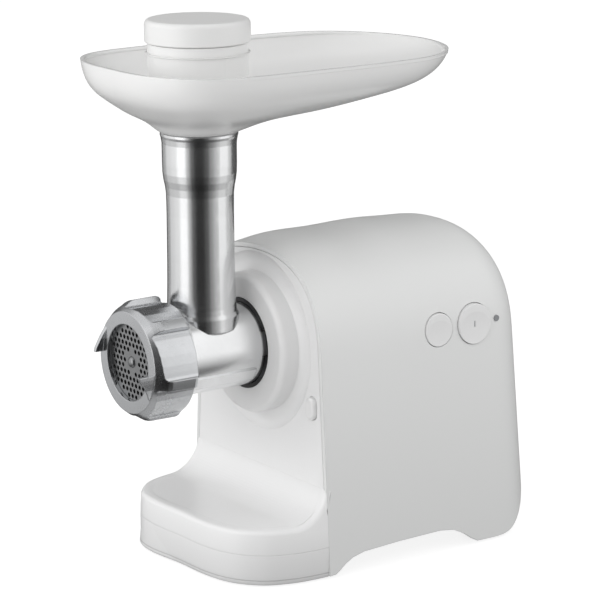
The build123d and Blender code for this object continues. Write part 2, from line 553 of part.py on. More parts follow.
# square drive for the cutter, then the pilot pin that ends in the plate's centre hole
aug += box(-4.0, 4.0, A0 - 7.5, A0 + 1, AXIS_Z - 4.0, AXIS_Z + 4.0)
aug += lathe_y([(A0 - 7, 0), (A0 - 7, 3.68), (PLATE_FRONT_U - 0.2, 3.68), (PLATE_FRONT_U - 1.1, 3.1),
                (PLATE_FRONT_U - 1.8, 1.9), (PLATE_FRONT_U - 2.1, 0)])
turns = (A1 - A0 - 5.2) / PITCH
helix = Edge.make_helix(PITCH, turns * PITCH, 9.0, center=(0, U(A0 + 2.7), AXIS_Z), normal=(0, 1, 0))
start = helix @ 0
radial = (start - Vector(0, U(A0 + 2.7), AXIS_Z)).normalized()
tangent = helix % 0
prof_plane = Plane(origin=start, x_dir=radial, z_dir=tangent)
flight_face = prof_plane * make_face(Polyline((-3.0, -2.4), (FL_R - 9.0, -1.1), (FL_R - 9.0, 1.1), (-3.0, 2.4), close=True))
flight = sweep(flight_face, path=helix, is_frenet=True)
aug = flight + aug
nodes["auger"] = as_solid(aug)

# cutter: hub and four swept blades
cut = rod(9.0, -48.2, -40.1)
for k in range(4):
    a = math.radians(90 * k)
    ca, sa = math.cos(a), math.sin(a)
    p = [(0, -4.2), (14, -4.6), (23.6, -1.5), (23.0, 3.8), (12, 3.0), (0, 4.2)]
    blade = prism_y([(x * ca - z * sa, AXIS_Z + x * sa + z * ca) for x, z in p], -48.2, -43.4)
    cut += blade
cut -= box(-4.05, 4.05, -50, -39, AXIS_Z - 4.05, AXIS_Z + 4.05)
nodes["cutter_blade"] = as_solid(cut)

# ------------------------------------------------------------------ grinder head
head = lathe_y([(-53.4, PLATE_R + 0.4), (-53.4, THREAD_R - 0.8), (-52.6, THREAD_R), (NUT_REAR_U - 0.5, THREAD_R),
                (NUT_REAR_U + 0.6, THREAD_R - 0.8), (NUT_REAR_U + 3.0, BARREL_R + 0.5), (NUT_REAR_U + 6.0, BARREL_R),
                (40.6, BARREL_R), (42.0, BARREL_R - 1.2), (42.0, 8.06), (34.0, 8.06), (34.0, BARREL_IN_R),
                (PLATE_FRONT_U + PLATE_T + 0.1, BARREL_IN_R), (PLATE_FRONT_U + PLATE_T + 0.1, PLATE_R + 0.4)])
flare = [(TUBE_R + 0.6, 176.0), (TUBE_R + 0.2, 190.0), (TUBE_R, 205.0), (TUBE_R - 0.15, 235.0), (TUBE_R, 248.0),
         (22.4, 253.0), (23.3, 257.5), (23.85, 262.0), (24.0, 268.0), (24.05, 281.0), (24.6, 284.6), (TUBE_TOP_R, 286.2),
         (TUBE_TOP_R, 287.7), (24.5, TUBE_TOP_Z)]
stack = lathe_z([(0, AXIS_Z)] + [(TUBE_R + 0.6, AXIS_Z)] + flare + [(0, TUBE_TOP_Z)])
# fillet where the tube meets the barrel: a short flared root
root = lathe_z([(0, 160.0), (TUBE_R + 2.4, 160.0), (TUBE_R + 2.2, 168.5), (TUBE_R + 1.1, 171.0), (TUBE_R + 0.65, 174.5),
                (TUBE_R + 0.6, 177.0), (0, 177.0)])
head = head + (stack - rod(BARREL_IN_R, -60, 34.0)) + (root - rod(BARREL_IN_R, -60, 34.0))
head -= lathe_z([(0, AXIS_Z + 5), (TUBE_IN_R, AXIS_Z + 5), (TUBE_IN_R, 262.0), (21.6, 268.0), (21.6, TUBE_TOP_Z + 1),
                 (0, TUBE_TOP_Z + 1)])
head -= rod(8.06, 30, 45)
# shallow ledge along the lower side of the barrel
for sx in (-1, 1):
    a = math.radians(-33)
    lx, lz = sx * 26.2 * math.cos(a), 26.2 * math.sin(a)
    ledge_b = Pos(lx, U(1.0), AXIS_Z + lz) * Rot(0, -sx * math.degrees(a) * 1.0, 0) * Box(4.4, 48.0, 9.0)
    wedge_keep = rod(29.2, -25, 27)
    head += (ledge_b & wedge_keep) - rod(BARREL_IN_R + 1, -30, 30)
# bayonet lugs
for k in range(3):
    a0 = 90 + 120 * k
    lug = prism_y([(0, AXIS_Z)] + arc_pts(0, AXIS_Z, 30.05, a0 - 14, a0 + 14, 8), 37.2, 41.0)
    head += lug - rod(BARREL_R - 1.0, 36, 42)
# notch for the plate's key
head -= box(-1.6, 1.6, -54, PLATE_FRONT_U + PLATE_T + 0.1, AXIS_Z - PLATE_R - 1.9, AXIS_Z - PLATE_R + 2)
nodes["grinder_head"] = as_solid(head)

# perforated plate
rows = int(PLATE_R / (PLATE_PITCH * math.sqrt(3) / 2)) + 1
centres = []
for j in range(-rows, rows + 1):
    for i in range(-rows - 2, rows + 3):
        x = PLATE_PITCH * (i + 0.5 * (j % 2))
        z = PLATE_PITCH * math.sqrt(3) / 2 * j
        r = math.hypot(x, z)
        if PLATE_CLEAR_R < r < NUT_OPEN_R - 1.3:
            centres.append((x, AXIS_Z + z))
ps = Sketch() + Pos(0, AXIS_Z) * Circle(PLATE_R)
ps -= Sketch() + [Pos(x, z) * Circle(PLATE_HOLE_R) for x, z in centres]
ps -= Pos(0, AXIS_Z) * Circle(CENTRE_HOLE_R)
plate = extrude(xz_plane(U(PLATE_FRONT_U + PLATE_T)) * ps, amount=PLATE_T)
plate -= box(-1.5, 1.5, -60, -40, AXIS_Z - PLATE_R - 1, AXIS_Z - PLATE_R + 1.8)
nodes["cutting_plate"] = as_solid(plate)
nodes["plate_key"] = as_solid(box(-1.45, 1.45, PLATE_FRONT_U + 0.3, PLATE_FRONT_U + PLATE_T - 0.3,
                                  AXIS_Z - PLATE_R - 1.8, AXIS_Z - PLATE_R + 1.7))

# ------------------------------------------------------------------ ring nut
prof = []
for k in range(FIN_COUNT):
    c = FIN_FIRST + 60 * k
    prof += arc_pts(0, AXIS_Z, NUT_FIN_R + 2, c - 4.4, c + 4.4, 2)
    # valley, slightly hollowed between two fins
    for t, rr in ((6.4, 38.0), (8.4, 37.0), (13.0, 36.6), (20.0, 36.3), (30.0, 35.9), (40.0, 35.5), (48.0, 34.9),
                  (52.6, 34.6), (54.4, 35.4)):
        prof.append((rr * math.cos(math.radians(c + t)), AXIS_Z + rr * math.sin(math.radians(c + t))))
nut = prism_y(prof, NUT_FRONT_U, NUT_REAR_U)
cone = lathe_y([(NUT_FRONT_U, 0), (NUT_FRONT_U, NUT_RIM_R),
                (NUT_FRONT_U + 4.0, 36.2), (NUT_FRONT_U + 7.5, 38.4), (NUT_FRONT_U + 10.0, NUT_FIN_R),
                (NUT_REAR_U - 3.0, NUT_FIN_R + 0.2), (NUT_REAR_U - 1.0, NUT_FIN_R - 0.6), (NUT_REAR_U, NUT_FIN_R - 2.0),
                (NUT_REAR_U, 0)])
nut = nut & cone
nut -= rod(THREAD_R + 0.25, NUT_FRONT_U + 3.2, NUT_REAR_U + 1)
nut -= rod(NUT_OPEN_R, NUT_FRONT_U - 1, NUT_REAR_U)
# two saw-tooth lugs on the rim
for wall_a, tip in ((-3.0, 1.0), (177.0, 0.5)):
    mid = math.radians(wall_a)
    # tangential distance t -> (x, z); the lug runs clockwise from its steep wall
    steps = [(-19.5, 0.0), (-14.5, -2.6), (-9.5, -5.4), (-5.0, -8.6), (-2.4, -10.8), (0.0, LUG_TIP_U - NUT_FRONT_U)]
    steps = [(t, NUT_FRONT_U + max(h * tip, -99.0) + 0.3) for t, h in steps]
    steps[-1] = (0.0, NUT_FRONT_U + (LUG_TIP_U - NUT_FRONT_U) * tip)
    for (t0, u0), (t1, u1) in zip(steps[:-1], steps[1:]):
        a0 = mid + t0 / 31.6
        a1 = mid + t1 / 31.6
        ring_in, ring_out = 30.1, 32.6
        lower = Wire.make_polygon([
            Vector(ring_in * math.cos(a0), U(NUT_FRONT_U + 2.6), AXIS_Z + ring_in * math.sin(a0)),
            Vector(ring_out * math.cos(a0), U(NUT_FRONT_U + 2.6), AXIS_Z + ring_out * math.sin(a0)),
            Vector(ring_out * math.cos(a0), U(u0), AXIS_Z + ring_out * math.sin(a0)),
            Vector(ring_in * math.cos(a0), U(u0), AXIS_Z + ring_in * math.sin(a0))])
        upper = Wire.make_polygon([
            Vector(ring_in * math.cos(a1), U(NUT_FRONT_U + 2.6), AXIS_Z + ring_in * math.sin(a1)),
            Vector(ring_out * math.cos(a1), U(NUT_FRONT_U + 2.6), AXIS_Z + ring_out * math.sin(a1)),
            Vector(ring_out * math.cos(a1), U(u1), AXIS_Z + ring_out * math.sin(a1)),
            Vector(ring_in * math.cos(a1), U(u1), AXIS_Z + ring_in * math.sin(a1))])
        nut += Solid.make_loft([lower, upper], ruled=True)
nodes["ring_nut"] = as_solid(nut)

# ------------------------------------------------------------------ food tray
# rim outline around the tube's centre line: (x, u)
RIM = [(0.0, -64.0), (30.0, -62.5), (55.0, -54.0), (71.5, -38.0), (78.5, -12.0), (80.0, 25.0), (80.0, 70.0),
       (79.0, 106.0), (71.0, 138.5), (49.0, 163.0), (20.0, 176.0), (0.0, 178.6)]
RIM = RIM + [(-x, u) for x, u in reversed(RIM[1:-1])]


def tray_wire(f, r_neck, z, inset, du=0.0):
    pts = []
    for x, u in RIM:
        d = math.hypot(x, u)
        ex, eu = x / d, u / d
        rr = r_neck + f * (d - r_neck) - inset
        pts.append(Vector(ex * rr, U(eu * rr), z))
    return Wire([Edge.make_spline(pts, periodic=True)])


LEVELS = [(0.0, 289.0), (0.10, 292.0), (0.30, 297.5), (0.55, 303.5), (0.79, 311.3), (0.935, 320.3), (0.988, 329.0),
          (1.0, RIM_Z)]
t_out = Solid.make_loft([tray_wire(f, NECK_R, z, 0.0) for f, z in LEVELS])
IN_LEVELS = [(0.04, 294.8), (0.10, 296.2), (0.30, 300.6), (0.55, 306.4), (0.79, 314.0), (0.935, 322.0), (0.988, 329.6),
             (1.0, RIM_Z + 0.6)]
t_in = Solid.make_loft([tray_wire(f, NECK_R, z, TRAY_T) for f, z in IN_LEVELS])
tray = t_out - t_in
tray += lathe_z([(19.6, 290.0), (NECK_R - 0.5, 288.5), (NECK_R, 289.4), (NECK_R + 1.2, 293.0), (NECK_R + 2, 296.0),
                 (19.6, 297.0)])
tray += lathe_z([(19.6, 270.5), (21.3, 270.5), (21.3, 290.5), (19.6, 290.5)])
tray -= post(19.6, 260, 310, 0, TUBE_Y)
nodes["food_tray"] = as_solid(tray)

# ------------------------------------------------------------------ pusher
PB = PUSHER_BOTTOM_Z
pusher = lathe_z([(0, PB), (PUSHER_R - 1.5, PB), (PUSHER_R, PB + 1.5), (PUSHER_R, CUP_BOTTOM_Z - 6.5), (PUSHER_R + 0.6, CUP_BOTTOM_Z - 2.0),
                  (CUP_R - 5.0, CUP_BOTTOM_Z), (CUP_R - 1.2, CUP_BOTTOM_Z + 1.6), (CUP_R, CUP_BOTTOM_Z + 5.0),
                  (CUP_R + 0.5, CAP_BOTTOM_Z - 0.4), (28.4, CAP_BOTTOM_Z - 0.4), (28.4, CUP_BOTTOM_Z + 3.2),
                  (PUSHER_R - 2.4, CUP_BOTTOM_Z + 3.2), (PUSHER_R - 2.4, PB + 3.0), (0, PB + 3.0)])
nodes["pusher_body"] = as_solid(pusher)
cap = lathe_z([(0, CAP_BOTTOM_Z - 7.0), (25.6, CAP_BOTTOM_Z - 7.0), (25.6, CAP_BOTTOM_Z - 8.0), (28.1, CAP_BOTTOM_Z - 8.0),
               (28.1, CAP_BOTTOM_Z), (CAP_R - 0.6, CAP_BOTTOM_Z), (CAP_R, CAP_BOTTOM_Z + 0.6), (CAP_R, CAP_TOP_Z - 3.2),
               (CAP_R - 0.25, CAP_TOP_Z - 2.0), (CAP_R - 0.95, CAP_TOP_Z - 0.95), (CAP_R - 2.0, CAP_TOP_Z - 0.25),
               (CAP_R - 3.2, CAP_TOP_Z), (0, CAP_TOP_Z)])
cap -= lathe_z([(0, CAP_BOTTOM_Z - 9), (25.6, CAP_BOTTOM_Z - 9), (25.6, CAP_TOP_Z - 4.0), (0, CAP_TOP_Z - 4.0)])
nodes["pusher_cap"] = as_solid(cap)

# ------------------------------------------------------------------ controls


def side_button(r, u, z, proud):
    """A round cap in the leaning side; its face is parallel to the side and slightly dished."""
    w = half_w(z)
    body = xrod(r, w - 10.0, w + 6.0, u, z)
    lean = math.degrees(math.atan(DRAFT))
    big = Pos(w + proud, U(u), z) * Rot(0, -lean, 0) * Pos(20, 0, 0) * Box(40, 4 * r, 4 * r)
    body = body - big
    edges = [e for e in body.edges() if e.center().X > w - 2]
    body = as_solid(body).fillet(0.9, edges)
    body += xrod(r + 1.6, w - 7.4, w - 5.8, u, z)
    body += xrod(3.0, w - 14.0, w - 9.0, u, z)
    return body


bigb = side_button(BIG_R, BIG_U, BIG_Z, 1.7)
dish_r = 90.0
dish = Pos(half_w(BIG_Z) + 1.7 - 0.9 + dish_r, U(BIG_U), BIG_Z) * Sphere(dish_r)
bigb -= dish
nodes["power_button"] = as_solid(bigb)
smb = side_button(SMALL_R, SMALL_U, SMALL_Z, 0.9)
smb -= Pos(half_w(SMALL_Z) + 0.9 - 0.6 + 90.0, U(SMALL_U), SMALL_Z) * Sphere(90.0)
nodes["reverse_button"] = as_solid(smb)

lens = xrod(LED_R, half_w(LED_Z) - 5.0, half_w(LED_Z) + 0.15, LED_U, LED_Z)
nodes["indicator_lens"] = as_solid(lens)

# carrier plate behind the two buttons and the two switches on it
cw = half_w(BIG_Z)
carrier = box(cw - 30.0, cw - 28.0, 122.0, 192.0, 130.0, 172.0)
for bu, bz in ((124.5, 133.0), (189.5, 133.0), (124.5, 169.0), (189.5, 169.0)):
    carrier += xrod(2.6, cw - 28.5, half_w(bz) - WALL + (0.05 if bz < 150 else -0.2), bu, bz)
carrier = carrier & inner
nodes["switch_carrier"] = as_solid(carrier)
nodes["power_switch"] = as_solid(box(cw - 28.0, cw - 16.6, BIG_U - 9, BIG_U + 9, BIG_Z - 7, BIG_Z + 7))
nodes["reverse_switch"] = as_solid(box(cw - 28.0, cw - 16.6, SMALL_U - 8, SMALL_U + 8, SMALL_Z - 6, SMALL_Z + 6))

lk = (box(LOCK_X - LOCK_W / 2, LOCK_X + LOCK_W / 2, FACE_U - 3.4, FACE_U + 9.0,
          LOCK_Z - LOCK_H / 2 + LOCK_W / 2, LOCK_Z + LOCK_H / 2 - LOCK_W / 2)
      + rod(LOCK_W / 2, FACE_U - 3.4, FACE_U + 9.0, LOCK_X, LOCK_Z + (LOCK_H - LOCK_W) / 2)
      + rod(LOCK_W / 2, FACE_U - 3.4, FACE_U + 9.0, LOCK_X, LOCK_Z - (LOCK_H - LOCK_W) / 2))
lk = as_solid(lk)
lk_edges = [e for e in lk.edges() if e.center().Y < U(FACE_U - 3.3)]
lk = lk.fillet(1.8, lk_edges)
lk += box(LOCK_X - LOCK_W / 2 - 2.0, LOCK_X + LOCK_W / 2 - 0.0, FACE_U + 5.8, FACE_U + 8.0, LOCK_Z - LOCK_H / 2 - 1.5, LOCK_Z + LOCK_H / 2 + 1.5)
nodes["lock_button"] = as_solid(lk)

# ------------------------------------------------------------------ control board, cord inlet
board = box(20.0, 64.0, 96.0, 160.0, 26.0, 27.6)
for bx, bu in ((24.0, 100.0), (60.0, 100.0), (24.0, 156.0), (60.0, 156.0)):
    board += post(2.4, 18.25, 26.2, bx, U(bu))
nodes["control_board"] = as_solid(board)
comps = [box(26, 42, 104, 120, 27.6, 42.0), box(46, 56, 106, 118, 27.6, 38.0), box(28, 58, 140, 152, 27.6, 36.0),
         post(6.5, 27.6, 50.0, 34.0, U(130.0)), post(4.5, 27.6, 42.0, 50.0, U(130.0))]
nodes["board_components"] = Compound(children=[as_solid(c) for c in comps])
slope = (REAR_U_LOW - REAR_U_HIGH) / (156.0 - 40.0)
ru = REAR_U_LOW - slope * (INLET_Z - 40.0)
bush = lathe_y([(ru - 8, 3.8), (ru - 8, 7.9), (ru - 0.4, 7.9), (ru + 0.2, 7.4), (ru + 0.2, 3.8)],
               -30.0, INLET_Z)
nodes["cord_inlet"] = as_solid(bush)

# ------------------------------------------------------------------ export
if __name__ == "__main__":
    for name, shape in nodes.items():
        shape.label = name
        export_step(shape, "parts/%s.step" % name)
        bb = shape.bounding_box()
        print("%-18s solids %d vol %.0f  x %.1f..%.1f y %.1f..%.1f z %.1f..%.1f" % (
            name, len(shape.solids()), shape.volume, bb.min.X, bb.max.X, bb.min.Y, bb.max.Y, bb.min.Z, bb.max.Z))
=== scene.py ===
import math
import bpy
import bmesh
from mathutils import Vector, Matrix


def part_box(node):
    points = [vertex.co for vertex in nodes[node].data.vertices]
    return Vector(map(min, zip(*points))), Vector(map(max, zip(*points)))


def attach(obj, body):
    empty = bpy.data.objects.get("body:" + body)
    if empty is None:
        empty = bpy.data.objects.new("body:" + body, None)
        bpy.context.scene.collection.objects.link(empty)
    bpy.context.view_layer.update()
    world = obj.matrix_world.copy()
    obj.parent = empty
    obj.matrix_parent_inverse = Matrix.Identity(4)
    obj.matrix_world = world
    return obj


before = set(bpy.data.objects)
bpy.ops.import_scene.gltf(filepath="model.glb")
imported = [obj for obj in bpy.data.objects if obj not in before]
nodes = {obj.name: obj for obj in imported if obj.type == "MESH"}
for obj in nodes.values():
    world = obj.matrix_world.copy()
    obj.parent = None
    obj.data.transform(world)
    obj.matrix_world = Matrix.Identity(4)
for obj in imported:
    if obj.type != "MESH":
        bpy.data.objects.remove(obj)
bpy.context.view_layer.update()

TUBE_Y = -0.0773
AXIS_Z = 0.1441

scene = bpy.context.scene
scene.view_settings.view_transform = "Standard"
scene.view_settings.look = "None"
scene.view_settings.exposure = 0.0
scene.view_settings.gamma = 1.0


# ------------------------------------------------------------------ materials
class M:
    """A node material under construction."""

    def __init__(self, name):
        self.mat = bpy.data.materials.new(name)
        self.mat.use_nodes = True
        self.nt = self.mat.node_tree
        self.nt.nodes.clear()
        self.out = self.n("ShaderNodeOutputMaterial")
        self.b = self.n("ShaderNodeBsdfPrincipled")
        self.nt.links.new(self.b.outputs[0], self.out.inputs[0])
        tc = self.n("ShaderNodeTexCoord")
        self.co = tc.outputs["Object"]
        self.normal = None

    def n(self, kind, **kw):
        nd = self.nt.nodes.new(kind)
        for k, v in kw.items():
            setattr(nd, k, v)
        return nd

    def link(self, a, b):
        self.nt.links.new(a, b)

    def mapped(self, scale, rot=(0, 0, 0), loc=(0, 0, 0)):
        mp = self.n("ShaderNodeMapping")
        mp.inputs["Scale"].default_value = scale
        mp.inputs["Rotation"].default_value = rot
        mp.inputs["Location"].default_value = loc
        self.link(self.co, mp.inputs["Vector"])
        return mp.outputs[0]

    def noise(self, scale, detail=3.0, rough=0.5, vec=None, distort=0.0):
        t = self.n("ShaderNodeTexNoise")
        t.inputs["Scale"].default_value = scale
        t.inputs["Detail"].default_value = detail
        t.inputs["Roughness"].default_value = rough
        t.inputs["Distortion"].default_value = distort
        self.link(self.co if vec is None else vec, t.inputs["Vector"])
        return t.outputs["Fac"]

    def ramp(self, fac, stops):
        r = self.n("ShaderNodeValToRGB")
        e = r.color_ramp.elements
        while len(e) < len(stops):
            e.new(0.5)
        for i, (p, c) in enumerate(stops):
            e[i].position = p
            e[i].color = c if len(c) == 4 else (*c, 1)
        self.link(fac, r.inputs[0])
        return r.outputs[0]

    def range(self, fac, lo, hi, a=0.3, b=0.7):
        r = self.n("ShaderNodeMapRange")
        r.inputs["From Min"].default_value = a
        r.inputs["From Max"].default_value = b
        r.inputs["To Min"].default_value = lo
        r.inputs["To Max"].default_value = hi
        self.link(fac, r.inputs["Value"])
        return r.outputs[0]

    def math(self, op, a, b=None, clamp=False):
        m = self.n("ShaderNodeMath", operation=op, use_clamp=clamp)
        for i, v in enumerate((a, b)):
            if v is None:
                continue
            if isinstance(v, (int, float)):
                m.inputs[i].default_value = v
            else:
                self.link(v, m.inputs[i])
        return m.outputs[0]

    def mix(self, fac, a, b):
        m = self.n("ShaderNodeMix", data_type="RGBA")
        if isinstance(fac, (int, float)):
            m.inputs[0].default_value = fac
        else:
            self.link(fac, m.inputs[0])
        for i, v in ((6, a), (7, b)):
            if isinstance(v, tuple):
                m.inputs[i].default_value = v if len(v) == 4 else (*v, 1)
            else:
                self.link(v, m.inputs[i])
        return m.outputs[2]

    def bump(self, height, strength, dist):
        b = self.n("ShaderNodeBump")
        b.inputs["Strength"].default_value = strength
        b.inputs["Distance"].default_value = dist
        self.link(height, b.inputs["Height"])
        if self.normal is not None:
            self.link(self.normal, b.inputs["Normal"])
        self.normal = b.outputs[0]

    def edge(self, radius):
        b = self.n("ShaderNodeBevel", samples=4)
        b.inputs["Radius"].default_value = radius
        self.normal = b.outputs[0]

    def axis(self, k):
        s = self.n("ShaderNodeSeparateXYZ")
        self.link(self.co, s.inputs[0])
        return s.outputs[k]

    def line(self, value, at, half):
        """1 on a thin line where value is close to at."""
        d = self.math("ABSOLUTE", self.math("SUBTRACT", value, at))
        r = self.n("ShaderNodeMapRange", interpolation_type="SMOOTHSTEP")
        r.inputs["From Min"].default_value = half
        r.inputs["From Max"].default_value = half * 0.35
        r.inputs["To Min"].default_value = 0.0
        r.inputs["To Max"].default_value = 1.0
        self.link(d, r.inputs["Value"])
        return r.outputs[0]

    def done(self):
        if self.normal is not None:
            self.link(self.normal, self.b.inputs["Normal"])
        return self.mat

    def set(self, **kw):
        names = {"base": "Base Color", "metal": "Metallic", "rough": "Roughness", "spec": "Specular IOR Level",
                 "coat": "Coat Weight", "coatr": "Coat Roughness", "ior": "IOR", "sss": "Subsurface Weight",
                 "aniso": "Anisotropic"}
        for k, v in kw.items():
            s = self.b.inputs[names[k]]
            if isinstance(v, (tuple, list)):
                s.default_value = (*v, 1) if len(v) == 3 else v
            else:
                s.default_value = v


def plastic(name, col, rough=0.3, peel=0.03, edge=0.0006, seams=(), coat=0.0, grain=0.0, low=None):
    m = M(name)
    m.set(metal=0.0, spec=0.5, coat=coat, coatr=0.12, ior=1.48)
    if edge:
        m.edge(edge)
    big = m.noise(9.0, 2.0)
    small = m.noise(260.0, 3.0, 0.6)
    lo = tuple(c * 0.992 for c in col)
    hi = tuple(min(1.0, c * 1.006) for c in col)
    base = m.mix(m.range(big, 0.0, 1.0), lo, hi)
    base = m.mix(m.range(small, 0.0, 0.02, 0.35, 0.75), base, tuple(c * 0.85 for c in col))
    # painted shade: base colour a little darker towards the floor, standing in for the shade low down
    if low is not None:
        base = m.mix(m.range(m.axis(2), 1.0, 0.0, 0.002, low[0]), base, tuple(c * low[1] for c in col))
    for at, half, dark in seams:
        ln = m.line(m.axis(2), at, half)
        base = m.mix(m.math("MULTIPLY", ln, dark), base, tuple(c * 0.35 for c in col))
    m.link(base, m.b.inputs["Base Color"])
    r = m.range(m.noise(420.0, 3.0, 0.55), rough - 0.02, rough + 0.025)
    m.link(r, m.b.inputs["Roughness"])
    m.bump(m.noise(520.0, 2.0, 0.5), peel, 0.0002)
    if grain:
        m.bump(m.noise(1900.0, 3.0, 0.7), grain, 0.00008)
    for at, half, dark in seams:
        ln = m.line(m.axis(2), at, half)
        inv = m.math("MULTIPLY", ln, -1.0)
        m.bump(inv, 0.5, 0.0004)
    return m.done()


def cast_alu(name, col=(0.76, 0.77, 0.78), rough=0.24, turned=None, edge=0.0007, dark=0.72, mottle=0.10):
    """Satin cast aluminium; turned is the axis about which it was machined (0, 1 or 2)."""
    m = M(name)
    m.set(metal=1.0, spec=0.5)
    m.edge(edge)
    big = m.noise(18.0, 4.0, 0.6)
    pits = m.noise(700.0, 4.0, 0.7)
    lo = tuple(c * dark for c in col)
    base = m.mix(m.range(big, 0.0, mottle * 3), col, lo)
    base = m.mix(m.range(pits, 0.0, 0.06, 0.5, 0.8), base, tuple(c * 0.5 for c in col))
    m.link(base, m.b.inputs["Base Color"])
    if turned is not None:
        sc = [14.0, 14.0, 14.0]
        sc[turned] = 2600.0
        lines = m.noise(1.0, 3.0, 0.6, m.mapped(tuple(sc)))
        r = m.math("ADD", m.range(lines, -0.04, 0.05), m.range(big, rough - 0.05, rough + 0.05))
        m.link(r, m.b.inputs["Roughness"])
        m.bump(lines, 0.05, 0.00012)
    else:
        r = m.math("ADD", m.range(pits, -0.015, 0.02), m.range(big, rough - 0.04, rough + 0.05))
        m.link(r, m.b.inputs["Roughness"])
    m.bump(m.noise(150.0, 3.0, 0.55), 0.02, 0.0006)
    m.bump(pits, 0.012, 0.00015)
    return m.done()


def steel(name, col, rough, turned=None, edge=0.0003, scr=0.06):
    m = M(name)
    m.set(metal=1.0, spec=0.5)
    if edge:
        m.edge(edge)
    big = m.noise(60.0, 3.0, 0.5)
    base = m.mix(m.range(big, 0.0, 0.5), col, tuple(c * 0.75 for c in col))
    m.link(base, m.b.inputs["Base Color"])
    sc = (90.0, 90.0, 90.0)
    if turned is not None:
        sc = [40.0, 40.0, 40.0]
        sc[turned] = 3000.0
        sc = tuple(sc)
    else:
        sc = (2400.0, 300.0, 60.0)
    lines = m.noise(1.0, 3.0, 0.6, m.mapped(sc))
    m.link(m.math("ADD", m.range(lines, -0.05, 0.06), m.range(big, rough - 0.03, rough + 0.04)), m.b.inputs["Roughness"])
    m.bump(lines, scr, 0.0001)
    return m.done()


def simple(name, col, rough, metal=0.0, scale=300.0, var=0.25, bump=0.08, dist=0.0003):
    m = M(name)
    m.set(metal=metal, spec=0.5)
    t = m.noise(scale, 4.0, 0.6)
    m.link(m.mix(m.range(t, 0.0, 1.0), tuple(c * (1 - var) for c in col), tuple(min(1, c * (1 + var * 0.5)) for c in col)),
           m.b.inputs["Base Color"])
    m.link(m.range(m.noise(scale * 0.3, 3.0), max(0.02, rough - 0.06), min(1.0, rough + 0.08)), m.b.inputs["Roughness"])
    m.bump(t, bump, dist)
    return m.done()


def wound(name, col, axis=1, pitch=1500.0):
    """Enamelled wire laid in fine turns."""
    m = M(name)
    m.set(metal=0.85, spec=0.5)
    w = m.n("ShaderNodeTexWave", wave_type="BANDS", bands_direction=("X", "Y", "Z")[axis])
    w.inputs["Scale"].default_value = pitch / 20.0
    w.inputs["Distortion"].default_value = 1.2
    w.inputs["Detail"].default_value = 1.0
    m.link(m.co, w.inputs["Vector"])
    m.link(m.mix(w.outputs["Fac"], tuple(c * 0.45 for c in col), col), m.b.inputs["Base Color"])
    m.link(m.range(m.noise(200.0), 0.25, 0.45), m.b.inputs["Roughness"])
    m.bump(w.outputs["Fac"], 0.5, 0.0004)
    return m.done()


def board(name):
    m = M(name)
    m.set(metal=0.0, spec=0.5)
    v = m.n("ShaderNodeTexVoronoi", feature="DISTANCE_TO_EDGE")
    v.inputs["Scale"].default_value = 240.0
    m.link(m.co, v.inputs["Vector"])
    tr = m.ramp(v.outputs[0], [(0.0, (0.30, 0.42, 0.16)), (0.08, (0.30, 0.42, 0.16)), (0.12, (0.03, 0.16, 0.06)),
                               (1.0, (0.025, 0.13, 0.05))])
    m.link(tr, m.b.inputs["Base Color"])
    m.link(m.range(m.noise(90.0), 0.28, 0.42), m.b.inputs["Roughness"])
    m.bump(v.outputs[0], 0.1, 0.0003)
    return m.done()


def laminated(name, col):
    m = M(name)
    m.set(metal=1.0)
    w = m.n("ShaderNodeTexWave", wave_type="BANDS", bands_direction="Y")
    w.inputs["Scale"].default_value = 300.0
    m.link(m.co, w.inputs["Vector"])
    m.link(m.mix(w.outputs["Fac"], tuple(c * 0.55 for c in col), col), m.b.inputs["Base Color"])
    m.link(m.range(m.noise(120.0), 0.35, 0.5), m.b.inputs["Roughness"])
    m.bump(w.outputs["Fac"], 0.3, 0.0002)
    return m.done()


